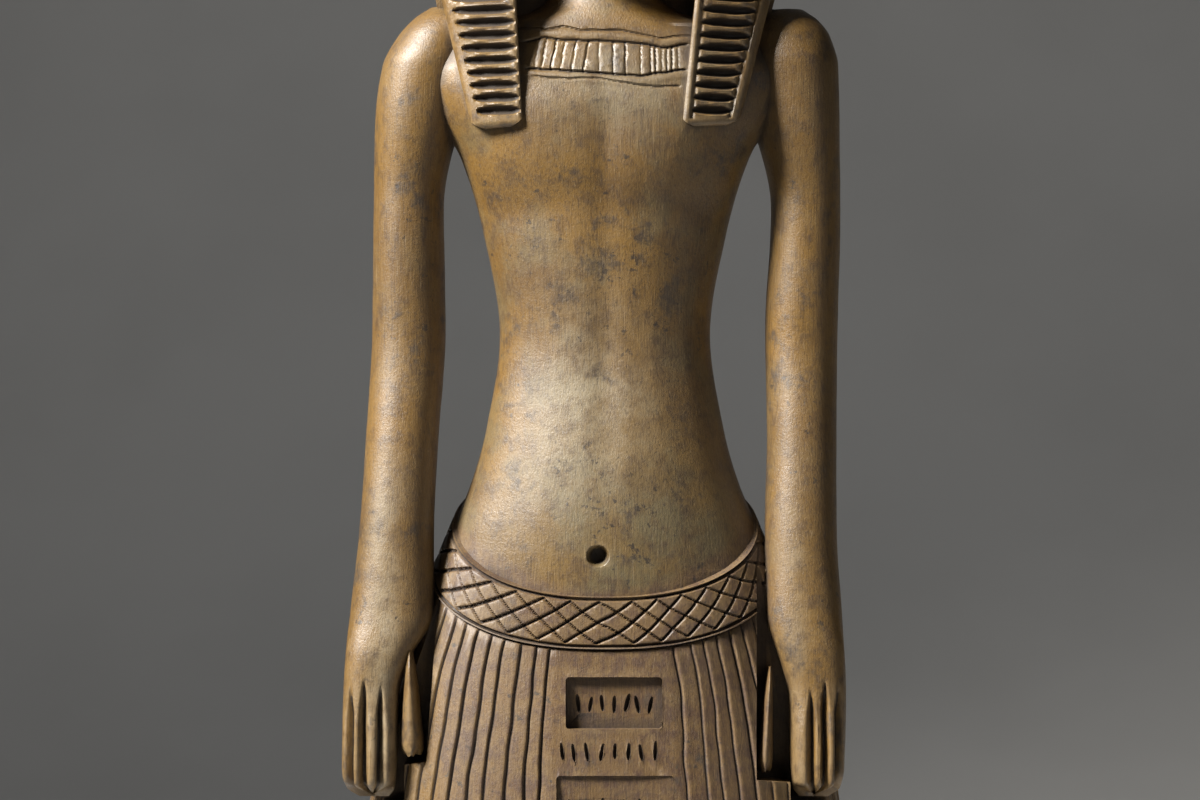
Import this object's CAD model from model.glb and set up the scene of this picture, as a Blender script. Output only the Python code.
"""A standing pharaoh of brown stone, carved in one block with its low base, as a Blender add-on."""
import math

import bpy
import numpy as np
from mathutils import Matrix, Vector


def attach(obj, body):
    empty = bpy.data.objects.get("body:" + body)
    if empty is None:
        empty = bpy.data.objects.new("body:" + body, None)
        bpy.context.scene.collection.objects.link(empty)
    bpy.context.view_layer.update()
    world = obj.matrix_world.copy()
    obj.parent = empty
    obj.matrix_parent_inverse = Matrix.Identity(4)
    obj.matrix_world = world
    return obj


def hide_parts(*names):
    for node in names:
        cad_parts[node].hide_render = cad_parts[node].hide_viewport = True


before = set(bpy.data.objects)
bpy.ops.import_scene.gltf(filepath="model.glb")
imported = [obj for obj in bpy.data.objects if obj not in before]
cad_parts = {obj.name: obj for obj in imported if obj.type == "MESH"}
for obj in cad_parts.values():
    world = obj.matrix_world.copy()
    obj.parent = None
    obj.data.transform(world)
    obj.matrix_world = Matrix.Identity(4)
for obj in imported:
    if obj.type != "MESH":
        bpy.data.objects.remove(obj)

bl_info = {
    "name": "Pharaoh stone statue",
    "version": (1, 0),
    "blender": (4, 5, 0),
    "location": "3D View > Sidebar > Statue",
    "description": "Builds a standing stone figure with pleated kilt, lattice belt and striped head cloth",
    "category": "Add Mesh",
}

MM = 0.001
TAU = 2 * math.pi
HEM = 69.5
BELT_FRONT = 110.3
BELT_BAND = 5.2
BELT_RISE = 10.4
BELT_EASE = 0.3
BELT_RIM = 0.6
PANEL_LEFT = -0.265
PANEL_RIGHT = 0.345
STRIDE = 6.0
LEG_OUT = 8.2
LEG_IN_AT_SOLE = 1.3
TOES = -17.0
HEEL = 6.2
LAPPET_END = 161.3
LAPPET_TOP = 181.0
LEDGE = 95.2
FINGER_LENGTH = 10.3
THUMB_LENGTH = 10.4
RECESS_FLOOR = -5.2
BASE_HEIGHT = 10.0
BASE_FRONT = TOES - STRIDE - 4.5
BASE_BACK = 12.3 + 2.0
BASE_HALF = 25.6 + 1.6
BASE_MIDDLE = (BASE_FRONT + BASE_BACK) / 2


# Shapes: every part of the figure is a stack of rounded outlines, in millimetres above the soles.

def through(rows):
    """A function that runs smoothly through (height, value) rows, without overshoot."""
    rows = sorted(rows)
    h = np.array([row[0] for row in rows], float)
    v = np.array([row[1] for row in rows], float)
    secant = np.diff(v) / np.diff(h)
    slope = np.concatenate([secant[:1], np.zeros(len(h) - 2), secant[-1:]])
    below, above = secant[:-1], secant[1:]
    total = np.where(below + above == 0, 1, below + above)
    slope[1:-1] = np.where(below * above <= 0, 0, 2 * below * above / total)

    def at(x):
        x = np.clip(x, h[0], h[-1])
        i = np.clip(np.searchsorted(h, x) - 1, 0, len(h) - 2)
        wide = h[i + 1] - h[i]
        t = (x - h[i]) / wide
        flat = t * t * (3 - 2 * t)
        bend = wide * t * (1 - t) * (slope[i] * (1 - t) - slope[i + 1] * t)
        return v[i] * (1 - flat) + v[i + 1] * flat + bend

    return at


class Form:
    """Rounded outlines, given by rows (height, left, right, front, back, squareness)."""

    def __init__(self, rows):
        self.low = min(row[0] for row in rows)
        self.high = max(row[0] for row in rows)
        self.left, self.right, self.front, self.back, self.square = (
            through([(row[0], row[k]) for row in rows]) for k in range(1, 6))

    def at(self, s):
        left, right, front, back = self.left(s), self.right(s), self.front(s), self.back(s)
        return (left + right) / 2, (front + back) / 2, (right - left) / 2, (back - front) / 2, self.square(s)

    def rim(self, s, turn, inset=0.0):
        """Points of the outline. Turn 0 is the front, a quarter turn is +X."""
        x, y, a, b, n = self.at(s)
        across = np.sign(np.sin(turn)) * np.abs(np.sin(turn)) ** (2 / n)
        along = np.sign(np.cos(turn)) * np.abs(np.cos(turn)) ** (2 / n)
        return x + (a - inset) * across, y - (b - inset) * along

    def swollen(self, s, turn, shift):
        """Points of the outline, pushed outwards by the shift."""
        x, y = self.rim(s, turn)
        _, _, a, b, _ = self.at(s)
        nx, ny = np.sin(turn) / a, -np.cos(turn) / b
        size = np.hypot(nx, ny)
        return x + shift * nx / size, y + shift * ny / size

    def front_at(self, x, s):
        middle, y, a, b, n = self.at(s)
        share = np.clip(np.abs(x - middle) / a, 0, 1)
        return y - b * (1 - share ** n) ** (1 / n)

    def turn_at(self, x, s):
        """The turn at which the front of the outline stands at x."""
        middle, _, a, _, n = self.at(s)
        share = np.clip((x - middle) / a, -1, 1)
        return np.sign(share) * np.arcsin(np.abs(share) ** (n / 2))


def even(rows):
    return Form([(s, -a, a, front, back, n) for s, a, front, back, n in rows])


TRUNK = even([
    (178.0, 5.6, -4.6, 5.2, 2), (175.0, 5.9, -5.0, 5.6, 2), (173.4, 7.6, -5.6, 6.0, 2),
    (172.2, 12.0, -6.0, 6.2, 2.1), (170.0, 17.0, -6.6, 6.6, 2.3), (167.0, 18.6, -7.4, 7.0, 2.4),
    (163.0, 17.0, -8.0, 7.2, 2.4), (159.0, 14.6, -8.0, 7.1, 2.3), (151.5, 12.3, -7.3, 6.5, 2.2),
    (141.0, 10.6, -6.8, 5.6, 2.2), (131.5, 12.0, -7.7, 6.2, 2.2), (126.5, 13.4, -8.3, 7.2, 2.2),
    (121.5, 15.4, -8.9, 8.4, 2.2), (116.0, 17.0, -9.3, 9.2, 2.2), (106.0, 18.0, -9.4, 9.6, 2.3),
])
KILT = even([
    (126.0, 13.8, -8.6, 7.6, 2.2), (121.5, 15.7, -9.2, 8.8, 2.25), (117.0, 17.5, -9.6, 9.7, 2.3),
    (112.0, 19.3, -10.0, 10.3, 2.35), (105.0, 21.4, -10.6, 10.9, 2.4), (97.0, 23.2, -11.3, 11.3, 2.4),
    (85.0, 24.6, -12.3, 11.8, 2.4), (HEM, 25.6, -13.4, 12.3, 2.4),
])
LEG = even([
    (HEM + 4, 7.4, -6.6, 7.4, 2.2), (66.0, 7.2, -6.2, 7.0, 2.2), (57.0, 5.9, -5.6, 5.6, 2.2),
    (51.0, 5.7, -5.2, 5.8, 2.2), (41.0, 5.7, -4.4, 6.9, 2.1), (28.0, 4.3, -3.6, 5.4, 2.1),
    (13.0, 3.3, -3.4, 4.2, 2.1), (7.0, 3.5, -4.0, 4.9, 2.1), (0, 3.9, -4.4, 5.4, 2.2),
])
HEAD = even([
    (176.6, 1.4, -7.4, -4.6, 2), (177.3, 3.0, -8.5, -1.0, 2), (179.0, 4.7, -9.0, 3.0, 2.1),
    (181.5, 6.0, -9.1, 5.0, 2.2), (184.5, 7.0, -9.0, 6.5, 2.3), (188.0, 7.6, -8.9, 7.5, 2.3),
    (191.0, 7.7, -9.0, 8.0, 2.3), (194.0, 7.3, -8.7, 8.0, 2.2), (197.0, 5.0, -6.0, 6.0, 2),
])
CAP = even([
    (200.0, 0.8, -1.2, 1.4, 2), (199.4, 4.0, -4.8, 4.9, 2), (198.0, 6.7, -7.4, 7.4, 2.1),
    (196.0, 8.3, -8.9, 8.8, 2.2), (194.0, 9.0, -9.6, 9.4, 2.2), (191.4, 9.2, -9.9, 9.6, 2.2),
])
HOOD = even([
    (198.4, 4.5, -1.5, 5.0, 2.2), (196.5, 9.6, -2.8, 7.4, 2.4), (194.0, 13.2, -3.5, 8.7, 2.5),
    (191.0, 16.0, -3.9, 9.6, 2.6), (188.0, 17.9, -4.2, 10.1, 2.7), (184.5, 18.9, -4.8, 10.3, 2.8),
    (181.0, 18.6, -6.2, 10.2, 2.9), (177.5, 17.8, -7.9, 9.9, 3), (174.0, 16.9, -9.1, 9.4, 3),
    (170.0, 15.7, -9.9, 8.8, 3), (166.0, 14.5, -10.2, 8.0, 3),
])
ARM_RIGHT = Form([
    (174.0, -17.6, -15.0, -1.2, 2.4, 2), (172.9, -19.2, -13.0, -3.0, 4.0, 2),
    (171.0, -20.9, -12.6, -4.2, 5.0, 2), (168.0, -22.4, -13.2, -4.9, 5.4, 2.1),
    (163.0, -23.1, -14.4, -4.8, 5.4, 2.2), (154.0, -23.3, -16.1, -4.0, 4.9, 2.2),
    (141.5, -23.4, -15.9, -4.0, 4.3, 2.2), (131.5, -23.9, -16.5, -5.3, 2.7, 2.2),
    (121.5, -24.5, -16.9, -6.9, 0.8, 2.2), (113.5, -25.3, -16.9, -8.0, -1.2, 2.3),
    (109.0, -25.7, -19.2, -8.5, -2.2, 2.5), (105.5, -25.85, -20.2, -8.8, -3.0, 2.7),
    (98.5, -25.95, -20.4, -9.2, -3.6, 2.7), (96.4, -25.4, -20.6, -8.9, -4.2, 2.5),
    (95.6, -24.2, -21.2, -8.0, -5.0, 2.3),
])
ARM_LEFT = Form([
    (173.8, 16.4, 20.0, -1.0, 2.4, 2), (172.7, 14.0, 21.5, -3.0, 4.0, 2),
    (171.0, 13.2, 22.7, -4.2, 5.0, 2), (168.0, 13.4, 23.5, -4.9, 5.4, 2.1),
    (163.0, 14.6, 23.6, -4.8, 5.4, 2.2), (154.0, 16.6, 23.7, -4.0, 4.9, 2.2),
    (141.5, 16.0, 23.4, -4.0, 4.3, 2.2), (131.5, 16.1, 23.2, -5.3, 2.7, 2.2),
    (121.5, 15.8, 23.1, -6.9, 0.8, 2.2), (113.5, 15.8, 23.5, -8.0, -1.2, 2.3),
    (109.0, 17.1, 23.75, -8.5, -2.2, 2.5), (105.5, 18.0, 23.8, -8.8, -3.0, 2.7),
    (98.5, 18.1, 23.6, -9.2, -3.6, 2.7), (96.4, 18.4, 23.1, -8.9, -4.2, 2.5),
    (95.6, 19.0, 22.0, -8.0, -5.0, 2.3),
])
DRAPE = even([
    (182, 18.4, -7.6, 7, 2.6), (177, 18.2, -8.4, 7, 2.4), (173, 17.9, -8.7, 7, 2.4),
    (169, 18, -8.6, 7, 2.4), (165, 18.1, -8.8, 7, 2.4), (160, 17.4, -9, 7, 2.4),
])
ARMS = {
    "right": {"form": ARM_RIGHT, "side": -1, "fingers": (-25.0, -23.6, -21.9), "inner": -19.8,
              "thumb": (-19.2, -18.9), "wide": 1.25, "raise": 4.5, "edge": (-16.3, -17.6)},
    "left": {"form": ARM_LEFT, "side": 1, "fingers": (20.1, 21.5, 22.9), "inner": 18.2,
             "thumb": (16.2, 15.6), "wide": 0.9, "raise": 2.9, "edge": (15.0, 14.8)},
}
LAPPETS = (
    {"outer": (-17.9, -13.1), "inner": (-9.1, -8.0), "end": (-0.2, 0.1), "rims": (0.9, 0.2)},
    {"outer": (18.2, 13.2), "inner": (9.5, 7.5), "end": (0.3, 0.0), "rims": (1.2, 0.9)},
)
COLLAR_LINES = (
    ((-7.6, 171.7), (-5.9, 171.1), (-4.2, 171.4), (-2.2, 171.0), (1.6, 171.0), (5.4, 170.2), (8.4, 170.6)),
    ((-8.4, 169.8), (-6.0, 170.3), (-4.0, 170.0), (0.2, 169.9), (4.1, 169.6), (5.6, 169.2), (8.4, 169.7)),
    ((-8.2, 167.2), (-3.6, 166.9), (-1.0, 166.7), (1.6, 166.5), (3.5, 166.4), (5.4, 166.7), (8.2, 167.1)),
    ((-7.4, 166.4), (-4.2, 166.1), (-1.0, 166.2), (1.2, 165.8), (3.0, 165.5), (4.8, 165.3), (7.6, 165.4)),
)
COLLAR_TICKS = (-6.8, -6.1, -5.1, -4.2, -3.1, -1.9, -0.6, 0.8, 2.0, 3.5, 4.5, 5.0, 5.6, 6.1, 6.6, 7.2)


def smooth(value, low, high):
    t = np.clip((value - low) / (high - low), 0, 1)
    return t * t * (3 - 2 * t)


def bump(dx, ds, wide, tall):
    return np.exp(-(dx / wide) ** 2 - (ds / tall) ** 2)


def ripple(x, s, seed, scale):
    """Slow unevenness of hand work, between -1 and 1."""
    rng = np.random.default_rng(seed)
    total = 0
    for _ in range(5):
        angle, phase = rng.uniform(0, TAU, 2)
        wave = scale * rng.uniform(0.6, 1.7)
        total = total + np.sin((x * math.cos(angle) + s * math.sin(angle)) * TAU / wave + phase)
    return total / 5


def line_distance(x, s, places):
    """Distance of each point to a line through places (x, s)."""
    best = np.full(np.broadcast(x, s).shape, 1e9)
    for (ax, ay), (bx, by) in zip(places[:-1], places[1:]):
        ux, uy = bx - ax, by - ay
        t = np.clip(((x - ax) * ux + (s - ay) * uy) / (ux * ux + uy * uy), 0, 1)
        best = np.minimum(best, np.hypot(x - ax - t * ux, s - ay - t * uy))
    return best


def groove(distance, width, depth):
    return -depth * np.exp(-(distance / width) ** 2)


# Meshes

def new_object(name, points, faces, cut=0.0):
    """An object from points in millimetres. The cut, 0 to 1, says how deep in a carved line each lies."""
    mesh = bpy.data.meshes.new(name)
    mesh.from_pydata((np.asarray(points) + (0, -BASE_MIDDLE, BASE_HEIGHT)) * MM, [], faces)
    mesh.update()
    values = np.broadcast_to(np.asarray(cut, np.float32), (len(points),))
    mesh.attributes.new("cut", "FLOAT", "POINT").data.foreach_set("value", np.ascontiguousarray(values))
    made = bpy.data.objects.new(name, mesh)
    bpy.context.scene.collection.objects.link(made)
    return made


def skin(name, x, y, s, cut=None):
    """A closed skin over rings: arrays of one row a ring, each ring running anticlockwise from below."""
    rings, count = x.shape
    cut = np.zeros(x.shape) if cut is None else np.clip(cut, 0, 1)
    points = np.stack([x, y, s], axis=-1)
    flat = points.reshape(-1, 3)
    r, i = np.meshgrid(np.arange(rings - 1), np.arange(count), indexing="ij")
    j = (i + 1) % count
    quads = np.stack([r * count + i, r * count + j, (r + 1) * count + j, (r + 1) * count + i], axis=-1)
    faces = quads.reshape(-1, 4).tolist()
    low, high = len(flat), len(flat) + 1
    last = (rings - 1) * count
    faces += [[(k + 1) % count, k, low] for k in range(count)]
    faces += [[last + k, last + (k + 1) % count, high] for k in range(count)]
    flat = np.concatenate([flat, [points[0].mean(axis=0)], [points[-1].mean(axis=0)]])
    return new_object(name, flat, faces, np.concatenate([cut.ravel(), [0, 0]]))


def box(name, outline, front, back, cut=0.0):
    """A block with its outline drawn in the XZ plane, running anticlockwise seen from the front."""
    count = len(outline)
    points = [(x, y, s) for y in (front, back) for x, s in outline]
    faces = [list(range(count)), list(range(2 * count - 1, count - 1, -1))]
    faces += [[(i + 1) % count, i, i + count, (i + 1) % count + count] for i in range(count)]
    return new_object(name, points, faces, cut)


def combine(body, other, operation):
    """Joins another closed piece to the body, or cuts it out, and removes it."""
    modifier = body.modifiers.new("combine", "BOOLEAN")
    modifier.operation = operation
    modifier.solver = "MANIFOLD"
    modifier.object = other
    bake(body)
    bpy.data.objects.remove(other)


def bake(made):
    """Replaces an object's mesh by what its modifiers make of it."""
    graph = bpy.context.evaluated_depsgraph_get()
    mesh = bpy.data.meshes.new_from_object(made.evaluated_get(graph))
    if not mesh.polygons:
        raise RuntimeError(f"{made.name} came out empty")
    made.modifiers.clear()
    made.data = mesh


def spread(low, high, dense, fine, coarse):
    """Places from low to high: close together inside the ranges given in dense."""
    places = [low]
    while places[-1] < high:
        here = places[-1]
        near = any(a - coarse <= here <= b for a, b in dense)
        places.append(here + (fine if near else coarse))
    places[-1] = high
    return np.array(places)


def trunk():
    rows = spread(106, 178, ((164.8, 172.2), (118, 120.8)), 0.11, 1.0)
    middle = np.arange(-8.8, 8.81, 0.11)
    flank = np.array([0.75, 0.9, 1.05, 1.2, 1.35])
    front = np.concatenate([-flank[::-1], TRUNK.turn_at(middle, 165), flank])
    turns = np.concatenate([front, np.linspace(1.5, TAU - 1.5, 34)])
    s, turn = np.meshgrid(rows, turns, indexing="ij")
    x, _ = TRUNK.rim(s, turn)
    facing = smooth(np.cos(turn), 0.0, 0.5)
    behind = smooth(-np.cos(turn), 0.0, 0.5)
    away = np.abs(x)
    lift = 0.45 * bump(away - 7.5, s - 160.5, 5.5, 5) + 0.75 * bump(x, s - 124, 9, 9)
    lift += -0.25 * bump(x, s - 140, 1.6, 14) - 0.2 * bump(x, s - 158, 1.5, 6)
    lift += -0.22 * bump(away - 7, s - 153.5 + 0.1 * (away - 7), 5, 1.6)
    pit = np.hypot((x + 0.7) / 1.15, (s - 119.4) / 1.1)
    hole = -1.15 * (1 - smooth(pit, 0.45, 1.0))
    lines = np.zeros_like(x)
    wavy = 0.06 * ripple(x, s, 3, 1.6)
    for k, places in enumerate(COLLAR_LINES):
        start, end = places[0][0], places[-1][0]
        reach = smooth(x, start, start + 0.8) * (1 - smooth(x, end - 0.5, end))
        lines += groove(line_distance(x, s + wavy, places), 0.1, (0.2, 0.25, 0.27, 0.18)[k]) * reach
    upper = np.interp(x, *np.transpose(COLLAR_LINES[1]))
    lower = np.interp(x, *np.transpose(COLLAR_LINES[2]))
    band = smooth(s, lower - 0.1, lower + 0.1) * (1 - smooth(s, upper - 0.1, upper + 0.1))
    for k, place in enumerate(COLLAR_TICKS):
        lean = (0.17 * (s - 168.3) if place < -1 else 0) + 0.05 * ripple(s, s, 60 + k, 2)
        lines += groove(x - place - lean, 0.08, 0.1 + 0.08 * ((k * 7) % 3) / 2) * band
    between = bump(0, s - (lower - 0.55), 1, 0.4) + bump(0, s - (upper + 0.6), 1, 0.4)
    lift += 0.1 * between * (np.abs(x) < 8.4)
    lift += hole + lines
    back = -0.5 * bump(x, s - 145, 1.7, 22) + 0.45 * bump(away - 8, s - 161, 5, 6)
    cut = facing * (-lines / 0.36 - hole * 0.5)
    return skin("trunk", *TRUNK.swollen(s, turn, facing * lift + behind * back), s, cut)


def belt_low(turn):
    climb = 1 - np.cos(turn)
    return BELT_FRONT + BELT_RISE * climb / (1 + BELT_EASE * climb)


def even_turns(start, end, count):
    """Turns evenly spaced along the kilt's outline at the belt."""
    path = np.linspace(start, end, 2000)
    x, y = KILT.rim(np.full_like(path, BELT_FRONT), path)
    length = np.concatenate([[0], np.cumsum(np.hypot(np.diff(x), np.diff(y)))])
    return np.interp(np.linspace(0, length[-1], count + 1), length, path)


def kilt(settings):
    """The kilt and its belt. Fourteen columns run down each pleat, most of them near its cut."""
    pleats, per = settings.pleats, 14
    share = lambda one: math.copysign(math.asin(abs(one) ** (KILT.at(BELT_FRONT)[4] / 2)), one)
    start, end = share(PANEL_LEFT), share(PANEL_RIGHT)
    left = even_turns(-math.pi, start, pleats)
    panel = np.linspace(start, end, 9)
    right = even_turns(end, math.pi, pleats)
    nodes = np.concatenate([left, panel[1:-1], right])
    count = len(nodes) - 1
    is_line = np.ones(len(nodes), bool)
    is_line[pleats + 1:pleats + 8] = False
    place = np.arange(count * per) / per
    node = np.floor(place).astype(int)
    part = place - node
    bunched = np.interp(part, np.linspace(0, 1, per + 1),
                        [0, 0.035, 0.07, 0.11, 0.17, 0.26, 0.38, 0.5, 0.62, 0.74, 0.83, 0.89, 0.93, 0.965, 1])
    pleated = nodes[node] * (1 - bunched) + nodes[node + 1] * bunched
    level = np.interp(place, np.arange(count + 1), nodes)
    pitch = 1.55
    near = np.where(part < 0.5, node, node + 1)
    offset = np.where(part < 0.5, bunched, bunched - 1) * pitch
    side = np.where(near > pleats + 3, 1, -1)
    out = offset * side
    ramp = 0.5 * np.exp(-(out / 0.075) ** 2) + 0.5 * np.exp(np.minimum(out, 0) / 0.4)
    cut = np.where(is_line[near], np.where(out > 0, np.exp(-(out / 0.065) ** 2), ramp), 0)
    dark = np.where(is_line[near], np.exp(-(out / np.where(out > 0, 0.055, 0.085)) ** 2), 0)
    crown = np.where(is_line[near], 0.05 * np.exp(-((out - 0.3) / 0.22) ** 2), 0)
    uneven = np.random.default_rng(11).uniform(-1, 1, (2, len(nodes)))
    uneven[0, [0, -1]] = 0
    astray = 0.011 * (uneven[0, node] * (1 - bunched) + uneven[0, node + 1] * bunched)
    rows = np.concatenate([np.linspace(0, 0.93, 38), [0.95, 0.97, 0.985, 1.0]])
    low = belt_low(pleated)
    s_kilt = HEM + (low - 0.2 - HEM) * rows[:, None]

    def sway(line):
        slow, quick = ripple(line * 1.0, s_kilt, 5, 13.0), ripple(line * 1.7, s_kilt, 6, 2.6)
        return (0.017 * slow + 0.0055 * quick) * is_line[line]

    wander = sway(node[None, :]) * (1 - bunched) + sway(node[None, :] + 1) * bunched + astray
    end_fade = smooth(1.02 - rows, 0, 0.03)[:, None]
    changing = 0.8 + 0.22 * uneven[1, near] + 0.25 * ripple(near[None, :] * 3.0, s_kilt, 8, 20.0)
    deep = settings.pleat_depth * changing
    inset_kilt = deep * cut * end_fade - crown
    turn_kilt = np.broadcast_to(pleated, s_kilt.shape) + wander * end_fade
    v = np.linspace(0, 1, 46)
    rise = np.concatenate([[0.0, 0.12], BELT_BAND * v[1:]])[:, None]
    low_belt = belt_low(level)[None, :]
    s_belt = low_belt + rise
    row = (rise - BELT_RIM) / ((BELT_BAND - 2 * BELT_RIM) / 4)
    u = place[None, :] + 0.07 * ripple(place[None, :] * 1.5, rise * 3, 12, 9.0)
    top = BELT_BAND - BELT_RIM
    inside = smooth(rise, BELT_RIM - 0.15, BELT_RIM + 0.1) * (1 - smooth(rise, top - 0.1, top + 0.15))
    inset_belt = np.full(np.broadcast(s_belt, rise).shape, -0.15)
    strength = settings.lattice_depth
    for direction in (1, -1):
        gap = np.abs(np.mod(u + direction * row + 1, 2) - 1) * pitch * 0.62
        wide, share = (0.105, 1.0) if direction < 0 else (0.08, 0.75)
        inset_belt = inset_belt + share * strength * np.exp(-(gap / wide) ** 2) * inside
    for edge in (BELT_RIM * 0.5, BELT_BAND - BELT_RIM * 0.6):
        away = rise - edge - 0.05 * ripple(u * 2, rise, 13, 7)
        inset_belt = inset_belt + strength * np.exp(-(away / 0.12) ** 2)
    inset_belt[0] = 0.25
    inset_belt[-1] = 0.1
    s_top = s_belt[-1:] + 0.3
    s = np.concatenate([s_kilt, s_belt, s_top])
    turn = np.concatenate([turn_kilt, np.broadcast_to(level, s_belt.shape), level[None, :]])
    inset = np.concatenate([inset_kilt, inset_belt, np.full((1, len(place)), 1.2)])
    x, y = KILT.rim(s, turn, inset)
    pleat_line = np.broadcast_to(dark * end_fade, s_kilt.shape)
    line = np.concatenate([pleat_line, (inset_belt + 0.15) / 0.42, np.zeros((1, len(place)))])
    return skin("kilt", x, y, s, line)


PANEL_FIELDS = ((102.7, 107.6, -3.8, 5.5, 0.9), (91.5, 98.1, -4.7, 6.6, 0.63))
STROKE_ROWS = (
    (105.0, 1.7, 0.9, (-2.7, -1.5, -0.3, 0.9, 2.1, 3.2, 4.4)),
    (100.5, 1.7, 0.0, (-4.2, -3.0, -1.7, -0.4, 0.9, 2.2, 3.5, 4.9)),
    (94.8, 2.0, 0.63, (-3.4, -1.8, -0.1, 1.6, 3.4, 5.2)),
    (88.0, 2.6, 0.0, (-4.2, -2.5, -0.8, 1.0, 2.6, 4.3, 5.9)),
)


def rounded(left, right, low, high, corner):
    """A rectangle with rounded and slightly uneven corners, anticlockwise seen from the front."""
    points = []
    for k, (cx, cs) in enumerate(((left, low), (right, low), (right, high), (left, high))):
        inward = (1 if cx == left else -1, 1 if cs == low else -1)
        for step in range(5):
            angle = math.pi * (1 + 0.5 * k + 0.125 * step)
            points.append((cx + corner * (inward[0] + math.cos(angle)),
                           cs + corner * (inward[1] + math.sin(angle))))
    return points


def panel_cuts():
    cuts = []
    for low, high, left, right, depth in PANEL_FIELDS:
        front = float(KILT.front_at((left + right) / 2, (low + high) / 2))
        cuts.append(box("field", rounded(left, right, low, high, 0.3), front - 3, front + depth, 0.3))
    return cuts


def arm(spec):
    form = spec["form"]
    rows = np.concatenate([np.linspace(form.low, 98.5, 12), np.linspace(98.8, 108, 22)[1:],
                           np.linspace(108, 168, 62)[1:], np.linspace(168, form.high, 20)[1:]])
    side = spec["side"]
    turns = np.concatenate([np.linspace(-1.15, 1.15, 56), np.linspace(1.3, TAU - 1.3, 28)])
    s, turn = np.meshgrid(rows, turns, indexing="ij")
    x, _ = form.rim(s, turn)
    middle, _, half, _, _ = form.at(s)
    front = smooth(np.cos(turn), 0.1, 0.45)
    lift, lines = np.zeros_like(x), np.zeros_like(x)
    split = LEDGE + FINGER_LENGTH
    edges = sorted([form.left(98.0), *spec["fingers"], form.right(98.0)], key=float)
    hand = 1 - smooth(s, split - 3.5, split - 0.5)
    for k, place in enumerate(spec["fingers"]):
        top = split + (0.9, 1.9, 1.2)[k]
        line = 1 - smooth(s, top - 3.5, top)
        away = x - place - 0.05 * ripple(s, s, 20 + k, 6)
        lift += groove(away, 0.1 + 0.18 * line, 0.85) * np.sqrt(line)
        lines += np.exp(-(away / 0.12) ** 2) * (1 - smooth(s, top - 1.2, top))
    for low, high in zip(edges[:-1], edges[1:]):
        across = np.clip((x - low) / (high - low), 0, 1)
        lift += 0.16 * np.sin(np.pi * across) * hand
        lift -= 0.35 * (1 - smooth(s, 95.9, 97.1)) * (np.abs(across - 0.5) * 2) ** 2
    lift -= 1.3 * (1 - smooth(s, 95.3, 97.3)) ** 1.5
    lift += 0.18 * bump(s - 110, 0, 2.2, 1) * (np.abs(x - middle) < half * 0.9)
    lift += 0.1 * ripple(x, s, 30 + side, 22)
    return skin("arm", *form.swollen(s, turn, front * lift), s, front * lines)


def thumb(spec):
    """A wedge with a crest down its middle, widening to a rough, broken tip."""
    root_x, tip_x = spec["thumb"]
    wide, end = spec["wide"], LEDGE + spec["raise"]
    rows = []
    stations = ((1, 0.25, 1.2), (0.8, 0.5, 0.3), (0.4, 0.8, 0), (0.06, 1, -0.2), (0, 0.85, 0.1))
    for share, half, front in stations:
        x = tip_x + (root_x - tip_x) * share
        level = end + share * THUMB_LENGTH
        rows.append((level, x - half * wide, x + half * wide, front - 8.8, RECESS_FLOOR + 1, 2))
    form = Form(rows)
    share, turn = np.meshgrid(np.linspace(0, 1, 60), np.linspace(0, TAU, 49)[:-1], indexing="ij")
    near = np.clip(1 - share / 0.12, 0, 1)
    inset = near * 0.22 * (1 + ripple(turn * 3, share * 9, 41, 2.2))
    x, y = form.rim(end + share * THUMB_LENGTH, turn, inset)
    s = end + share * THUMB_LENGTH + near * 0.35 * ripple(turn * 3, share, 43, 2.0)
    return skin("thumb", x, y, s, near * 0.5)


def recess(spec):
    side, inner = spec["side"], spec["inner"]
    top, low = spec["edge"]
    shelf = LEDGE + spec["raise"] - 0.5
    outline = [(top, 118), (low, shelf), (inner, shelf - 0.4), (inner, LEDGE), (side * 32, LEDGE),
               (side * 32, 118)]
    return box("recess", outline if side > 0 else outline[::-1], -16, RECESS_FLOOR, 0.35)


def leg(side, advance):
    s, turn = np.meshgrid(np.linspace(0, HEM + 4, 60), np.linspace(0, TAU, 41)[:-1], indexing="ij")
    x, y = LEG.rim(s, turn)
    knee = 0.5 * bump(turn - np.where(turn > math.pi, TAU, 0), (s - 53) / 3.5, 0.7, 1)
    shin = 0.25 * bump(turn - np.where(turn > math.pi, TAU, 0), (s - 32) / 14, 0.35, 1)
    down = 1 - s / (HEM + 4)
    return skin("leg", x + side * (LEG_OUT - LEG_IN_AT_SOLE * down), y - advance * down - knee - shin, s)


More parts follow.
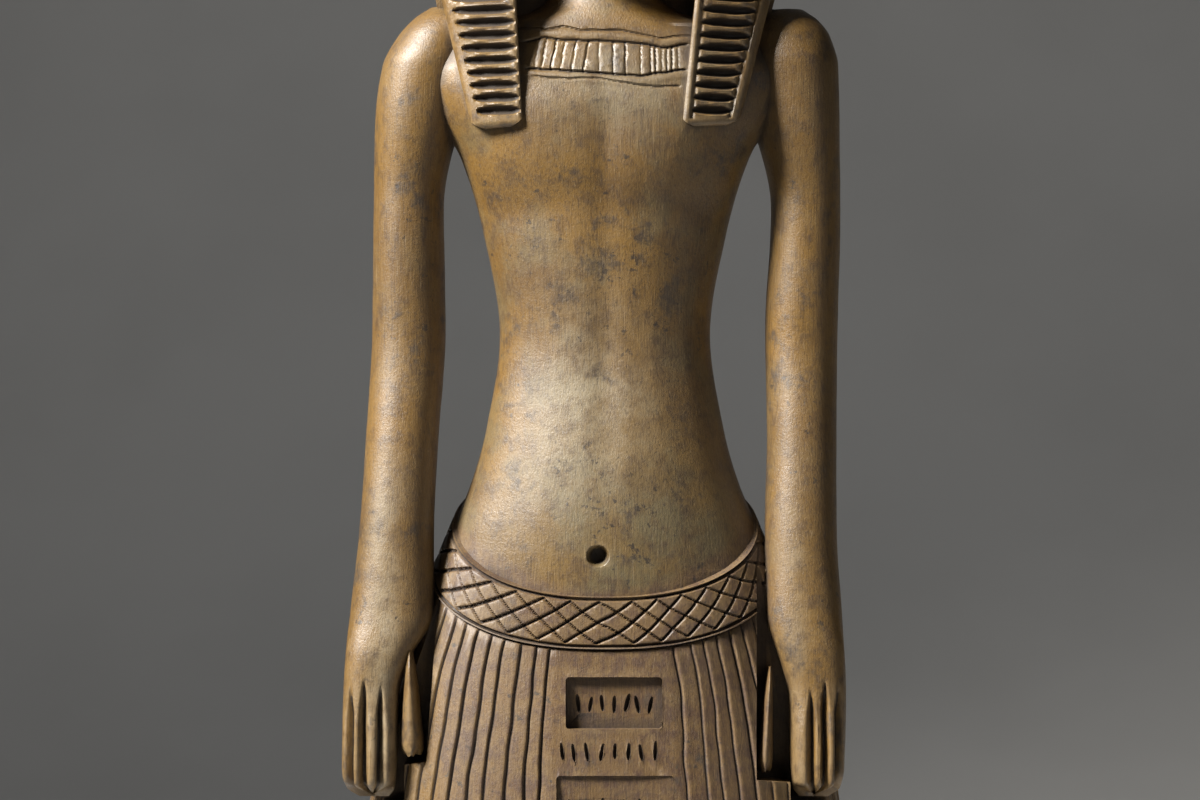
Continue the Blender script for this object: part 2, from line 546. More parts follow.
def foot(side, advance):
    middle = side * (LEG_OUT - LEG_IN_AT_SOLE + 0.4)
    half = through([(HEEL, 2), (HEEL - 1.2, 3.2), (2, 3.6), (-3.5, 3.6), (-8, 4.1), (-12.5, 4.5),
                    (TOES + 1.6, 4.2), (TOES, 3.2)])
    tall = through([(HEEL, 3.5), (HEEL - 1.2, 5.5), (2, 8.6), (-3.5, 8.2), (-8, 5.6), (-12.5, 3.9),
                    (TOES + 1.6, 2.9), (TOES, 1.8)])
    places = np.linspace(HEEL, TOES, 60)
    arch = np.linspace(0, math.pi, 41)
    y, turn = np.meshgrid(places, arch, indexing="ij")
    across = np.cos(turn)
    toe = smooth(-y, 10.5, 13)
    lines = sum(np.exp(-((across * half(y) - place) / 0.2) ** 2) for place in (-2.6, -0.9, 0.7, 2.2))
    high = tall(y) * np.sin(turn) ** 0.7 - 0.5 * toe * lines * (np.sin(turn) > 0.2)
    x = middle + half(y) * across
    high[:, 0], high[:, -1] = 0, 0
    floor = np.full((len(places), 1), -0.6)
    x = np.concatenate([x, middle - half(places)[:, None], middle + half(places)[:, None]], axis=1)
    y = np.concatenate([y, places[:, None], places[:, None]], axis=1)
    return skin("foot", x, y - advance, np.concatenate([high, floor, floor], axis=1))


def web():
    _, y, _, b, _ = LEG.at(30)
    back, top = float(y + b) - 0.8, HEM + 4
    return box("web", [(-LEG_OUT, -0.6), (LEG_OUT, -0.6), (LEG_OUT, top), (-LEG_OUT, top)], back - 5, back)


def face_relief(x, s):
    """A calm, general face: how far it stands out in front of the head's plain oval."""
    side = np.abs(x)
    run = np.clip((188.6 - s) / 5.8, 0, 1)
    nose = (0.5 + 1.6 * run) * bump(x, 0, 0.8 + 0.6 * run, 1)
    span = np.where(s > 188.6, bump(0, s - 188.6, 1, 1.2), bump(0, np.minimum(0, s - 182.9), 1, 0.4))
    lids = 0.16 * np.exp(-((s - 187.6 - 0.75 * np.cos((side - 3.1) / 2.1 * 1.5)) / 0.16) ** 2)
    lids += 0.12 * np.exp(-((s - 187.6 + 0.6 * np.cos((side - 3.1) / 2.1 * 1.5)) / 0.16) ** 2)
    lids = lids * (np.abs(side - 3.1) < 2.1)
    return (nose * span + 0.45 * bump(side - 3.4, s - 190.2, 2.4, 0.55)
            - 0.8 * bump(side - 3.1, s - 187.7, 2, 1.3)
            + 0.65 * bump(side - 3.1, s - 187.6, 1.5, 0.7) + lids
            + 0.3 * bump(side - 4, s - 183.8, 1.8, 1.6)
            + 0.75 * bump(x, s - 180.7 - 0.12 * np.cos(x * 2), 2.3, 0.5)
            + 0.7 * bump(x, s - 179.4, 2, 0.5) - 0.25 * bump(x, s - 180.05, 2.4, 0.18)
            + 0.5 * bump(x, s - 177.7, 1.8, 0.8))


def head():
    rows = np.concatenate([np.linspace(176.6, 192, 78), np.linspace(192, 197, 12)[1:]])
    turns = np.concatenate([np.linspace(-1.2, 1.2, 64), np.linspace(1.35, TAU - 1.35, 20)])
    s, turn = np.meshgrid(rows, turns, indexing="ij")
    x, y = HEAD.rim(s, turn)
    return skin("head", x, y - np.clip(np.cos(turn), 0, 1) ** 0.5 * face_relief(x, s), s)


def ear(side):
    s, turn = np.meshgrid(np.linspace(-1, 1, 24), np.linspace(0, TAU, 25)[:-1], indexing="ij")
    reach = np.sqrt(np.clip(1 - s ** 2, 0.0004, 1))
    inner = 0.3 * bump(np.abs(turn - math.pi * (1 - 0.5 * side)), s, 0.5, 0.5)
    x = side * 8.4 + 1.2 * reach * np.sin(turn)
    y = -4.9 - 1.3 * reach * np.cos(turn) + inner
    return skin("ear", x, y, 186.4 + 2.5 * s)


def striped(name, form, low, high, count, settings):
    """A form with a step cut round it at every stripe, as on the head cloth."""
    pitch = settings.stripe_pitch
    number = int((high - low - 0.3) // pitch)
    inner = (0, 0.3, 0.6, 0.8, 0.9, 0.96)
    rows = [low + k * pitch + part * pitch for k in range(number) for part in inner]
    rows = np.array([r for r in rows if r < high - 0.05] + list(np.linspace(low + number * pitch, high, 8)))
    s, turn = np.meshgrid(rows, np.linspace(0, TAU, count + 1)[:-1], indexing="ij")
    phase = np.mod((s - low) / pitch + 1e-6, 1)
    step = np.exp(-((1 - phase) / 0.12) ** 2) + np.exp(-(phase / 0.2) ** 2)
    cut = 0.3 * np.where(s < low + number * pitch + 0.01, step, 0)
    cut = np.where(s <= low + 0.01, 0, np.minimum(cut, 0.3))
    x, y = form.rim(s, turn, cut)
    return skin(name, x, y, s, cut / 0.4)


def hood(settings):
    cloth = striped("hood", HOOD, HOOD.low, HOOD.high, 90, settings)
    opening = [(-30, 160), (30, 160), (30, 177.2), (8.6, 177.2), (7.2, 184), (5, 192), (-5, 192),
               (-7.2, 184), (-8.6, 177.2), (-30, 177.2)]
    combine(cloth, box("opening", opening, -16, -1.6), "DIFFERENCE")
    return cloth


def lappet(spec, settings):
    tall = LAPPET_TOP - LAPPET_END
    pitch = 1.24
    rows = np.concatenate([[0, 0.15, 0.4, 0.7], np.arange(0.9, tall, 0.155), [tall]])
    width0 = spec["inner"][1] - spec["outer"][1]
    sign = np.sign(width0)
    shares = np.linspace(0, 1, 38)
    up, share = np.meshgrid(rows, shares, indexing="ij")
    along = up / tall
    outer = spec["outer"][1] + (spec["outer"][0] - spec["outer"][1]) * along
    inner = spec["inner"][1] + (spec["inner"][0] - spec["inner"][1]) * along
    reach = np.abs(inner - outer)
    tuck = 1.3 * np.clip(1 - up / 0.9, 0, 1) ** 2
    eased = (tuck + share * (reach - 2 * tuck)) / reach
    x = outer + (inner - outer) * eased
    s = LAPPET_END + up + (spec["end"][0] + (spec["end"][1] - spec["end"][0]) * eased) * (1 - along)
    low, high = spec["rims"][0] / reach, 1 - spec["rims"][1] / reach
    middle, half = (low + high) / 2, (high - low) / 2
    reach_x = np.clip(1 - np.abs((eased - middle) / half) ** 3, 0, 1)
    first = 1.7
    phase = (s - LAPPET_END - first + 0.05 * ripple(x * 2, s, 51, 7)) / pitch
    off = (phase - np.round(phase)) * pitch
    open_half = 0.43 * np.sqrt(reach_x) + 1e-6
    scoop = np.clip(1 - (off / open_half) ** 2, 0, 1) ** 0.8
    scoop = scoop * (np.round(phase) >= 0) * (up < tall - 1)
    cut = settings.ridge_depth * scoop * np.sqrt(reach_x)
    at_rim = np.abs(np.abs((eased - middle) / half) - 1) * half * reach
    cut = cut + 0.22 * np.exp(-(at_rim / 0.16) ** 2) * (up > 0.8) * (np.minimum(low, 1 - high) > 0.05)
    round_edge = 0.28 * (np.clip(1 - np.minimum(eased, 1 - eased) * reach / 0.5, 0, 1) ** 2)
    round_end = 0.4 * np.clip(1 - up / 0.6, 0, 1) ** 2
    y = DRAPE.front_at(x, s) + cut + round_edge + round_end
    back_x = np.stack([x[:, -1], x[:, 0]], axis=1)
    back_s = np.stack([s[:, -1], s[:, 0]], axis=1)
    x = np.concatenate([x, back_x], axis=1)
    y = np.concatenate([y, np.full_like(back_x, -3)], axis=1)
    s = np.concatenate([s, back_s], axis=1)
    cut = np.concatenate([cut / 0.5, np.zeros_like(back_x)], axis=1)
    if sign < 0:
        x, y, s, cut = (one[:, ::-1] for one in (x, y, s, cut))
    return skin("lappet", x, y, s, cut)


def base():
    """The low base, with edges softened by wear."""
    half, deep = BASE_HALF, (BASE_BACK - BASE_FRONT) / 2
    levels = [(0, 0.7), (0.12, 0.34), (0.34, 0.12), (0.7, 0)]
    levels += [(level, 0) for level in np.linspace(1.6, BASE_HEIGHT - 1.6, 8)]
    levels += [(BASE_HEIGHT - 0.7, 0), (BASE_HEIGHT - 0.34, 0.12), (BASE_HEIGHT - 0.12, 0.34)]
    levels += [(BASE_HEIGHT, 0.7)]
    levels += [(BASE_HEIGHT, inset) for inset in (2, 6, 12, 18)]
    z = np.array([level for level, _ in levels])[:, None]
    inset = np.array([one for _, one in levels])[:, None]
    side = np.linspace(-1, 1, 41)[:-1]
    across = np.concatenate([side, np.ones(40), -side, -np.ones(40)])
    along = np.concatenate([-np.ones(40), side, np.ones(40), -side])
    x = (half - inset) * across
    y = (deep - inset) * along + BASE_MIDDLE
    return skin("base", x, y, np.broadcast_to(z, x.shape) - BASE_HEIGHT)


# Nodes

def add_node(tree, kind, inputs, settings):
    """Adds a node, sets its fields, and feeds its inputs from sockets or plain values."""
    made = tree.nodes.new(kind)
    for key, value in settings.items():
        setattr(made, key, value)
    for key, value in (inputs or {}).items():
        if isinstance(value, bpy.types.NodeSocket):
            tree.links.new(value, made.inputs[key])
        else:
            made.inputs[key].default_value = value
    return made


class Tree:
    """A Geometry Nodes tree with named inputs, ending in Realize Instances and Set Material."""

    def __init__(self, name):
        self.tree = bpy.data.node_groups.new(name, "GeometryNodeTree")
        self.tree.interface.new_socket("Geometry", in_out="INPUT", socket_type="NodeSocketGeometry")
        self.tree.interface.new_socket("Geometry", in_out="OUTPUT", socket_type="NodeSocketGeometry")
        self.identifiers = {}
        self.source = self.tree.nodes.new("NodeGroupInput")
        self.sink = self.tree.nodes.new("NodeGroupOutput")

    def input(self, name, kind):
        made = self.tree.interface.new_socket(name, in_out="INPUT", socket_type=kind)
        self.identifiers[name] = made.identifier
        return self.source.outputs[name]

    def node(self, kind, inputs=None, **settings):
        return add_node(self.tree, kind, inputs, settings)

    def end(self, geometry, material):
        realized = self.node("GeometryNodeRealizeInstances", {"Geometry": geometry})
        inputs = {"Geometry": realized.outputs[0], "Material": material}
        painted = self.node("GeometryNodeSetMaterial", inputs)
        self.tree.links.new(painted.outputs[0], self.sink.inputs[0])

    def run(self, made, values):
        """Puts the tree on an object, sets its inputs and turns the result into a plain mesh."""
        modifier = made.modifiers.new(self.tree.name, "NODES")
        modifier.node_group = self.tree
        for name, value in values.items():
            modifier[self.identifiers[name]] = value
        bake(made)


def stroke_tree():
    """A scoop of a set size on every point given, lying along the point's own lean."""
    tree = Tree("Strokes")
    width = tree.input("Width", "NodeSocketFloat")
    depth = tree.input("Depth", "NodeSocketFloat")
    material = tree.input("Material", "NodeSocketMaterial")
    ball = tree.node("GeometryNodeMeshUVSphere", {"Segments": 12, "Rings": 8, "Radius": 1.0})
    length = tree.node("GeometryNodeInputNamedAttribute", {"Name": "length"}, data_type="FLOAT")
    lean = tree.node("GeometryNodeInputNamedAttribute", {"Name": "lean"}, data_type="FLOAT")
    size = tree.node("ShaderNodeCombineXYZ", {"X": width, "Y": depth, "Z": length.outputs[0]})
    turn = tree.node("ShaderNodeCombineXYZ", {"Y": lean.outputs[0]})
    scattered = tree.node("GeometryNodeInstanceOnPoints", {
        "Points": tree.source.outputs[0], "Instance": ball.outputs[0], "Rotation": turn.outputs[0],
        "Scale": size.outputs[0]})
    tree.end(scattered.outputs[0], material)
    return tree


def wear_tree():
    """Slow unevenness and small dents of hand work, always inwards, over a whole surface."""
    tree = Tree("Wear")
    depth = tree.input("Depth", "NodeSocketFloat")
    seed = tree.input("Seed", "NodeSocketFloat")
    material = tree.input("Material", "NodeSocketMaterial")

    def noise(scale, detail):
        inputs = {"W": seed, "Scale": scale, "Detail": detail}
        return tree.node("ShaderNodeTexNoise", inputs, noise_dimensions="4D").outputs[0]

    def reckon(operation, *values):
        return tree.node("ShaderNodeMath", dict(enumerate(values)), operation=operation).outputs[0]

    both = reckon("MULTIPLY_ADD", noise(900.0, 1.0), 0.3, noise(190.0, 2.0))
    inward = reckon("MULTIPLY", reckon("MULTIPLY", both, depth), -1.0)
    inputs = {0: tree.node("GeometryNodeInputNormal").outputs[0], "Scale": inward}
    offset = tree.node("ShaderNodeVectorMath", inputs, operation="SCALE").outputs[0]
    inputs = {"Geometry": tree.source.outputs[0], "Offset": offset}
    tree.end(tree.node("GeometryNodeSetPosition", inputs).outputs[0], material)
    return tree


def strokes(material):
    """The panel's plain strokes, as one cutter."""
    points, lengths, leans = [], [], []
    rng = np.random.default_rng(7)
    for middle, tall, sunk, places in STROKE_ROWS:
        for place in places:
            s = middle + rng.uniform(-0.12, 0.12)
            y = float(KILT.front_at(place, s)) + sunk
            points.append(((place + rng.uniform(-0.1, 0.1)), y, s))
            lengths.append(tall / 2 * rng.uniform(0.85, 1.1) * MM)
            leans.append(rng.uniform(-0.25, 0.25))
    made = new_object("strokes", points, [])
    made.data.attributes["cut"].data.foreach_set("value", np.full(len(points), 0.9, np.float32))
    for name, values in (("length", lengths), ("lean", leans)):
        made.data.attributes.new(name, "FLOAT", "POINT").data.foreach_set("value", values)
    stroke_tree().run(made, {"Width": 0.15 * MM, "Depth": 0.36 * MM, "Material": material})
    return made


def store_hollows(mesh):
    """Stores how hollow or how raised the surface is at each point: the mean of the surface round it."""
    mesh.calc_loop_triangles()
    points = np.empty(len(mesh.vertices) * 3, np.float32)
    normals = np.empty(len(mesh.vertices) * 3, np.float32)
    corners = np.empty(len(mesh.loop_triangles) * 3, np.int32)
    mesh.vertices.foreach_get("co", points)
    mesh.vertices.foreach_get("normal", normals)
    mesh.loop_triangles.foreach_get("vertices", corners)
    points, normals, corners = points.reshape(-1, 3) / MM, normals.reshape(-1, 3), corners.reshape(-1, 3)
    a, b, c = (points[corners[:, k]] for k in range(3))
    area = np.linalg.norm(np.cross(b - a, c - a), axis=1)
    rng = np.random.default_rng(1)
    sums = np.cumsum(area)
    pick = np.searchsorted(sums, rng.uniform(0, sums[-1], 900000)).clip(0, len(area) - 1)
    u, v = rng.uniform(0, 1, (2, len(pick), 1))
    over = u + v > 1
    u, v = np.where(over, 1 - u, u), np.where(over, 1 - v, v)
    samples = a[pick] + u * (b - a)[pick] + v * (c - a)[pick]
    low = points.min(axis=0) - 4
    for name, cell in (("hollow", 0.45), ("shelter", 1.3)):
        shape = np.ceil((points.max(axis=0) + 4 - low) / cell).astype(int)
        index = np.ravel_multi_index(((samples - low) / cell).astype(int).T, shape)
        fields = [np.bincount(index, weight, shape.prod()).reshape(shape).astype(np.float32)
                  for weight in (None, *(samples - low).T)]
        for axis in range(3):
            fields = [one + np.roll(one, 1, axis) + np.roll(one, -1, axis) for one in fields]
        spot = (points - low) / cell - 0.5
        first = np.floor(spot).astype(int)
        part = spot - first
        total = np.zeros((len(points), 4))
        for corner in np.ndindex(2, 2, 2):
            share = np.prod(np.where(corner, part, 1 - part), axis=1)
            at = tuple((first + corner).T)
            total += share[:, None] * np.stack([one[at] for one in fields], axis=1)
        mean = total[:, 1:] / np.maximum(total[:, :1], 1e-6) + low
        height = ((mean - points) * normals).sum(axis=1) / cell
        mesh.attributes.new(name, "FLOAT", "POINT").data.foreach_set("value", height.astype(np.float32))


def triangles(made):
    return sum(len(face.vertices) - 2 for face in made.data.polygons)


def thin_out(made, most):
    """Leaves triangles out where the surface is smooth, down to the number given."""
    count = triangles(made)
    if count > most:
        modifier = made.modifiers.new("thin out", "DECIMATE")
        modifier.ratio = most / count
        bake(made)


def statue(settings):
    stone = stone_material()
    body = trunk()
    skirt = kilt(settings)
    for cutter in [*panel_cuts(), strokes(stone), *(recess(spec) for spec in ARMS.values())]:
        combine(skirt, cutter, "DIFFERENCE")
    parts = [skirt, base(), web(), leg(-1, 0), leg(1, STRIDE), foot(-1, 0), foot(1, STRIDE), hood(settings),
             striped("cap", CAP, CAP.low, CAP.high, 64, settings), head(), ear(-1), ear(1)]
    parts += [arm(spec) for spec in ARMS.values()] + [thumb(spec) for spec in ARMS.values()]
    parts += [lappet(spec, settings) for spec in LAPPETS]
    for part in parts:
        combine(body, part, "UNION")
    wear_tree().run(body, {"Depth": settings.wear, "Seed": 3.0, "Material": stone})
    thin_out(body, settings.triangles)
    body.name = "statue_stone"
    store_hollows(body.data)
    body.data.shade_smooth()
    body.data.set_sharp_from_angle(angle=math.radians(42))
    return body


# Materials: the colours are in linear light.

AMBER = (0.150, 0.080, 0.015, 1)
UMBER = (0.086, 0.045, 0.011, 1)
OCHRE = (0.124, 0.066, 0.014, 1)
OLIVE = (0.098, 0.074, 0.032, 1)
DARK_BROWN = (0.054, 0.030, 0.013, 1)
CLOTH_LIGHT = (0.104, 0.057, 0.019, 1)
CLOTH_DARK = (0.058, 0.027, 0.014, 1)
BLOOM = (0.255, 0.215, 0.145, 1)
SMUDGE = (0.036, 0.026, 0.019, 1)
FLECK = (0.017, 0.013, 0.011, 1)
HAIR_LIGHT = (0.150, 0.096, 0.034, 1)
HAIR_DARK = (0.036, 0.021, 0.010, 1)
SCRATCH = (0.28, 0.22, 0.14, 1)
GRAIN = (0.045, 0.028, 0.016, 1)
RUBBED = (0.22, 0.155, 0.080, 1)
DIRT = (0.014, 0.008, 0.005, 1)
PALE = (0.60, 0.59, 0.57, 1)
PALER = (0.64, 0.63, 0.61, 1)


class Value:
    """A shader value that can be reckoned with: each operation adds one Math node."""

    def __init__(self, shader, socket):
        self.shader = shader
        self.socket = socket

    def math(self, operation, *others):
        inputs = {i: getattr(one, "socket", one) for i, one in enumerate((self, *others))}
        made = self.shader.node("ShaderNodeMath", inputs, operation=operation)
        return Value(self.shader, made.outputs[0])

    def __add__(self, other):
        return self.math("ADD", other)

    def __sub__(self, other):
        return self.math("SUBTRACT", other)

    def __mul__(self, other):
        return self.math("MULTIPLY", other)

    def __neg__(self):
        return self.math("MULTIPLY", -1.0)

    def ramp(self, low, high, to_low=0.0, to_high=1.0):
        inputs = {0: self.socket, 1: low, 2: high, 3: to_low, 4: to_high}
        made = self.shader.node("ShaderNodeMapRange", inputs, clamp=True, interpolation_type="SMOOTHSTEP")
        return Value(self.shader, made.outputs[0])


class Shader:
    """A node material, with one Principled shader at its end."""

    def __init__(self, name):
        self.material = bpy.data.materials.new(name)
        self.material.use_nodes = True
        self.tree = self.material.node_tree
        self.surface = self.tree.nodes["Principled BSDF"]
        self.place = self.node("ShaderNodeTexCoord").outputs["Object"]
        self.mm = self.vector("MULTIPLY", self.place, (1000.0, 1000.0, 1000.0))

    def node(self, kind, inputs=None, **settings):
        return add_node(self.tree, kind, inputs, settings)

    def vector(self, operation, one, other):
        return self.node("ShaderNodeVectorMath", {0: one, 1: other}, operation=operation).outputs[0]

    def noise(self, scale, detail=3.0, roughness=0.5, shift=0.0, stretch=(1.0, 1.0, 1.0)):
        """Noise whose scale is in waves a millimetre."""
        spot = self.vector("MULTIPLY", self.mm, tuple(scale * one for one in stretch))
        spot = self.vector("ADD", spot, (shift, shift * 0.7, -shift))
        inputs = {"Vector": spot, "Scale": 1.0, "Detail": detail, "Roughness": roughness}
        return Value(self, self.node("ShaderNodeTexNoise", inputs).outputs[0])

    def attribute(self, name):
        return Value(self, self.node("ShaderNodeAttribute", attribute_name=name).outputs["Fac"])

    def mix(self, share, one, other, blend="MIX"):
        inputs = {0: share.socket, 6: one, 7: other}
        made = self.node("ShaderNodeMix", inputs, data_type="RGBA", blend_type=blend)
        return made.outputs[2]

    def feed(self, **inputs):
        for name, value in inputs.items():
            name = name.replace("_", " ").title().replace("Ior", "IOR")
            value = getattr(value, "socket", value)
            if isinstance(value, bpy.types.NodeSocket):
                self.tree.links.new(value, self.surface.inputs[name])
            else:
                self.surface.inputs[name].default_value = value


def stone_material():
    """Waxy brown soft stone: blotched, rubbed pale where it stands out, with fine upright hairlines."""
    shader = Shader("brown_stone")
    x, y, z = (Value(shader, one) for one in shader.node("ShaderNodeSeparateXYZ", {0: shader.mm}).outputs[:3])
    hollow = shader.attribute("hollow")
    shelter = shader.attribute("shelter")
    broad = shader.noise(0.06, 4.0, 0.6, 3.0)
    cloudy = shader.noise(0.16, 5.0, 0.65, 11.0)
    mottle = shader.noise(0.6, 5.0, 0.68, 29.0)
    grain = shader.noise(4.0, 4.0, 0.7, 5.0)
    hairs = shader.noise(7.0, 3.0, 0.7, 17.0, stretch=(1.0, 1.0, 0.07))
    scratch = shader.noise(9.0, 2.0, 0.6, 41.0, stretch=(1.0, 1.0, 0.03))

    def spot(cx, cz, wide, tall):
        away = ((x - cx) * (1 / wide)).math("POWER", 2.0) + ((z - cz) * (1 / tall)).math("POWER", 2.0)
        return (-away).math("EXPONENT")

    side = x.math("ABSOLUTE").ramp(13.5, 18.0)
    olive = spot(2.0, 132.0, 14.0, 9.0)
    colour = shader.mix(broad.ramp(0.38, 0.62), AMBER, UMBER)
    colour = shader.mix(side * 0.5, colour, OCHRE)
    colour = shader.mix((cloudy.ramp(0.45, 0.64) * 0.6 + olive * 0.5) * (-side * 0.7 + 1.0), colour,
                        OLIVE)
    colour = shader.mix(mottle.ramp(0.46, 0.68) * 0.7, colour, DARK_BROWN)
    kilt = (z - x * x * 0.03).ramp(126.6, 125.2) * x.math("ABSOLUTE").ramp(17.0, 15.2)
    cloth = shader.mix(mottle.ramp(0.40, 0.62), CLOTH_LIGHT, CLOTH_DARK)
    colour = shader.mix(kilt * 0.8, colour, cloth)
    patches = cloudy.ramp(0.28, 0.56) * mottle.ramp(0.72, 0.40)
    arms = spot(-21.8, 140.0, 1.7, 60.0) * 0.9 + spot(18.8, 140.0, 1.0, 60.0) * 0.4
    bloom = (spot(-3.2, 146.0, 8.0, 9.5) + spot(-1.0, 178.0, 8.0, 7.0) * 0.5 + arms).math("MINIMUM", 1.0)
    bloom = bloom * (patches * 0.75 + 0.25) * y.ramp(2.0, -1.5)
    colour = shader.mix(bloom * 0.85, colour, BLOOM)
    clusters = spot(0.0, 158.0, 6.0, 4.0) + spot(-9.3, 145.0, 2.5, 3.5) + spot(3.5, 132.5, 3.5, 3.0)
    clusters = clusters + spot(-19.5, 167.0, 2.5, 5.0) + spot(18.0, 150.0, 3.0, 5.0) * 0.6
    smudge = (shader.noise(0.2, 4.0, 0.7, 63.0) + clusters * 0.12).ramp(0.55, 0.68) * mottle.ramp(0.38, 0.56)
    colour = shader.mix(smudge * 0.8, colour, SMUDGE)
    fleck = (shader.noise(0.9, 4.0, 0.68, 77.0) + clusters * 0.025).ramp(0.61, 0.67)
    fleck = fleck * (shader.noise(0.11, 2.0, 0.5, 90.0) + clusters * 0.2).ramp(0.46, 0.60)
    colour = shader.mix(fleck * 0.85, colour, FLECK)
    colour = shader.mix(hairs.ramp(0.45, 0.70) * 0.45, colour, HAIR_LIGHT)
    colour = shader.mix(hairs.ramp(0.50, 0.28) * 0.55, colour, HAIR_DARK)
    colour = shader.mix(scratch.ramp(0.62, 0.74) * 0.3, colour, SCRATCH)
    colour = shader.mix(grain.ramp(0.52, 0.72) * 0.45, colour, GRAIN)
    raised = hollow.ramp(-0.08, -0.34) * mottle.ramp(0.66, 0.40)
    colour = shader.mix(raised * (-kilt * 0.5 + 1.0) * 0.3, colour, RUBBED)
    cut = shader.attribute("cut") + (grain - 0.5) * 0.6
    dark = cut.ramp(0.32, 0.78) * 0.95
    sunk = (dark + hollow.ramp(0.08, 0.4) * 0.4 + shelter.ramp(0.10, 0.5) * 0.35).math("MINIMUM", 1.0)
    colour = shader.mix(sunk * 0.9, colour, DIRT)
    bumps = hairs * 0.5 + scratch * 0.3 + grain * 0.8 + mottle * 0.9
    normal = shader.node("ShaderNodeBump", {"Height": bumps.socket, "Strength": 0.6, "Distance": 0.00009})
    rough = cloudy.ramp(0.3, 0.7, 0.40, 0.52) + sunk * 0.35 + kilt * 0.1 + grain.ramp(0.3, 0.7, -0.05, 0.07)
    shader.feed(base_color=colour, roughness=rough, normal=normal.outputs[0], coat_weight=0.3,
                coat_roughness=0.5, ior=1.5)
    return shader.material


def floor_material():
    shader = Shader("pale_floor")
    cloudy = shader.noise(0.01, 3.0)
    colour = shader.mix(cloudy.ramp(0.3, 0.7), PALE, PALER)
    shader.feed(base_color=colour, roughness=0.85)
    return shader.material


# The add-on

class StatueSettings(bpy.types.PropertyGroup):
    pleats: bpy.props.IntProperty(
        name="Pleats a side", description="Pleats from the front panel round to the middle of the back",
        default=29, min=8, max=60)
    pleat_depth: bpy.props.FloatProperty(
        name="Pleat depth", description="Depth of the cut beside each pleat, in millimetres",
        default=0.29, min=0)
    lattice_depth: bpy.props.FloatProperty(
        name="Lattice depth", description="Depth of the belt's crossing lines, in millimetres",
        default=0.38, min=0)
    ridge_depth: bpy.props.FloatProperty(
        name="Ridge depth", description="Depth of the scoops across the lappets, in millimetres",
        default=0.75, min=0)
    stripe_pitch: bpy.props.FloatProperty(
        name="Stripe pitch", description="Height of one stripe of the head cloth, in millimetres",
        default=3.2, min=1)
    triangles: bpy.props.IntProperty(
        name="Triangles", description="Most triangles that the finished statue may have",
        default=190000, min=20000, max=199000)
    wear: bpy.props.FloatProperty(
        name="Wear", description="Depth of the unevenness of hand work", default=0.00012, min=0,
        subtype="DISTANCE", unit="LENGTH", precision=5)


# Name, place, target, size, share of the key light's power, colour and spread of each light
LIGHTS = (
    ("key", (-0.38, -0.20, 0.50), (-0.01, 0, 0.155), (0.14, 0.18), 1.0, (1, 0.97, 0.92), 70),
    ("fill", (0.40, -0.45, 0.22), (0, 0, 0.12), (0.3, 0.3), 0.05, (0.93, 0.96, 1), 120),
    ("backdrop", (0.0, 0.1, 0.9), (0, 0.9, 0.2), (1.2, 0.4), 0.4, (1, 1, 1), 120),
)
SENSOR = 36
FOCUS = (-0.0005, 0.0056, 0.1446)


class StageSettings(bpy.types.PropertyGroup):
    key_power: bpy.props.FloatProperty(
        name="Key light", description="Power of the main light, above and to the left of the camera",
        default=2.1, min=0, unit="POWER")
    lens: bpy.props.FloatProperty(
        name="Lens", description="Focal length in millimetres", default=100.0, min=20)
    field: bpy.props.FloatProperty(
        name="Field", description="Width of the view at the figure", default=0.120, min=0.01,
        subtype="DISTANCE", unit="LENGTH")


class STATUE_OT_build(bpy.types.Operator):
    """Build the statue in one solid"""
    bl_idname = "statue.build"
    bl_label = "Build statue"

    def execute(self, context):
        made = statue(context.scene.statue_settings)
        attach(made, "root")
        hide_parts("statue")
        return {"FINISHED"}


def area_light(name, place, target, size, power, colour, spread):
    light = bpy.data.lights.new(name, "AREA")
    light.shape = "RECTANGLE"
    light.size, light.size_y = size
    light.energy = power
    light.color = colour
    light.spread = math.radians(spread)
    made = bpy.data.objects.new(name, light)
    made.location = place
    made.rotation_euler = (Vector(target) - Vector(place)).to_track_quat("-Z", "Y").to_euler()
    bpy.context.scene.collection.objects.link(made)


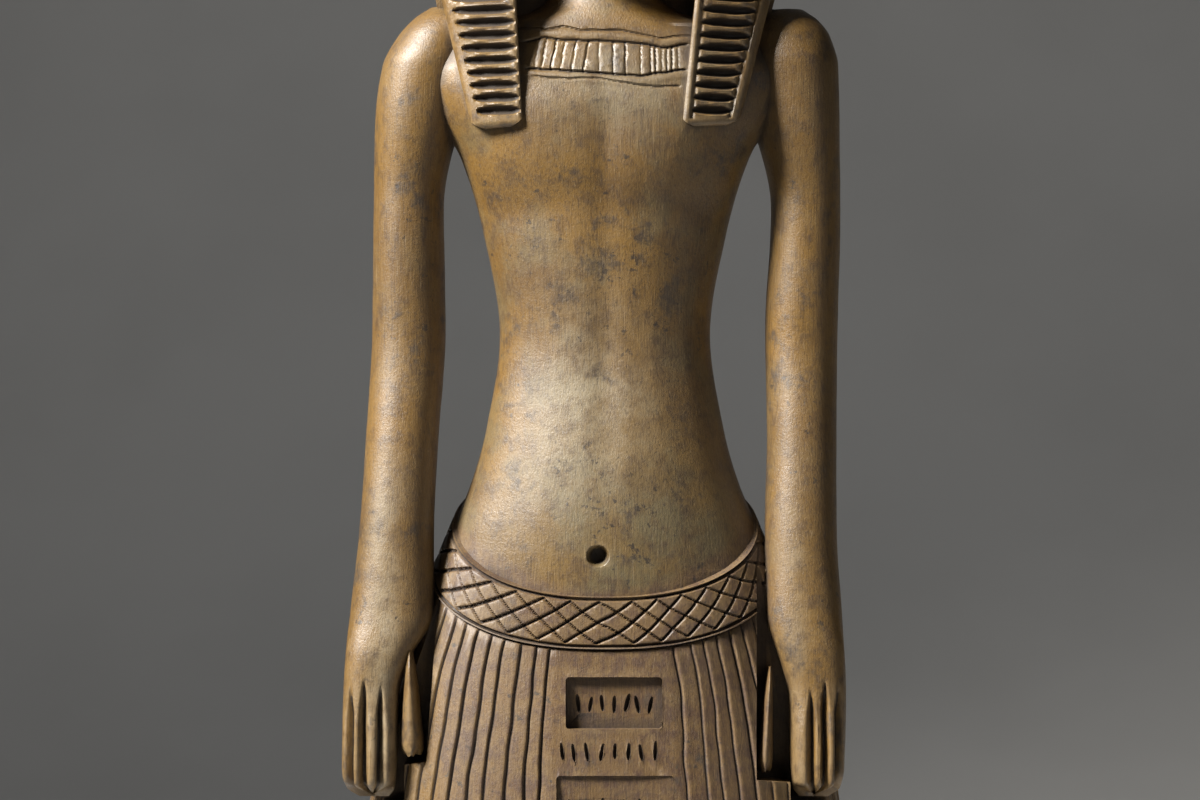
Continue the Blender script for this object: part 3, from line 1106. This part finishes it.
class STATUE_OT_stage(bpy.types.Operator):
    """Set out the floor, the lights and the camera"""
    bl_idname = "statue.stage"
    bl_label = "Set out stage"

    def execute(self, context):
        settings = context.scene.stage_settings
        turn = np.linspace(0, math.pi / 2, 17)
        profile = [(-1.6, 0.0), *zip(0.55 + 0.45 * np.sin(turn), 0.45 - 0.45 * np.cos(turn)), (1.0, 2.2)]
        points = [(x, y, z) for y, z in profile for x in (-2.5, 2.5)]
        faces = [(2 * i, 2 * i + 1, 2 * i + 3, 2 * i + 2) for i in range(len(profile) - 1)]
        mesh = bpy.data.meshes.new("floor")
        mesh.from_pydata(points, [], faces)
        mesh.materials.append(floor_material())
        mesh.shade_smooth()
        floor = bpy.data.objects.new("floor", mesh)
        context.scene.collection.objects.link(floor)
        power = settings.key_power
        for name, place, target, size, share, colour, spread in LIGHTS:
            area_light(name, place, target, size, power * share, colour, spread)
        world = bpy.data.worlds.new("studio")
        world.use_nodes = True
        world.node_tree.nodes["Background"].inputs[0].default_value = (0.9, 0.95, 1, 1)
        world.node_tree.nodes["Background"].inputs[1].default_value = 0.02
        context.scene.world = world
        camera = bpy.data.cameras.new("camera")
        camera.lens = settings.lens
        camera.sensor_width = SENSOR
        camera.clip_start = 0.01
        view = bpy.data.objects.new("camera", camera)
        view.location = (FOCUS[0], FOCUS[1] - settings.field * settings.lens / SENSOR, FOCUS[2])
        view.rotation_euler = (math.pi / 2, 0, 0)
        context.scene.collection.objects.link(view)
        context.scene.camera = view
        context.scene.view_settings.view_transform = "Standard"
        return {"FINISHED"}


class STATUE_PT_panel(bpy.types.Panel):
    """Sizes of the statue and its stage, and the buttons that build them"""
    bl_idname = "STATUE_PT_panel"
    bl_label = "Pharaoh statue"
    bl_space_type = "VIEW_3D"
    bl_region_type = "UI"
    bl_category = "Statue"

    def draw(self, context):
        for settings in (context.scene.statue_settings, context.scene.stage_settings):
            for name in settings.__annotations__:
                self.layout.prop(settings, name)
        self.layout.operator(STATUE_OT_build.bl_idname)
        self.layout.operator(STATUE_OT_stage.bl_idname)


CLASSES = (StatueSettings, StageSettings, STATUE_OT_build, STATUE_OT_stage, STATUE_PT_panel)


def register():
    for one in CLASSES:
        bpy.utils.register_class(one)
    bpy.types.Scene.statue_settings = bpy.props.PointerProperty(type=StatueSettings)
    bpy.types.Scene.stage_settings = bpy.props.PointerProperty(type=StageSettings)


def unregister():
    del bpy.types.Scene.statue_settings
    del bpy.types.Scene.stage_settings
    for one in reversed(CLASSES):
        bpy.utils.unregister_class(one)


def main():
    register()
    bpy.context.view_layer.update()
    bpy.ops.statue.build()
    bpy.ops.statue.stage()


if __name__ == "__main__":
    main()
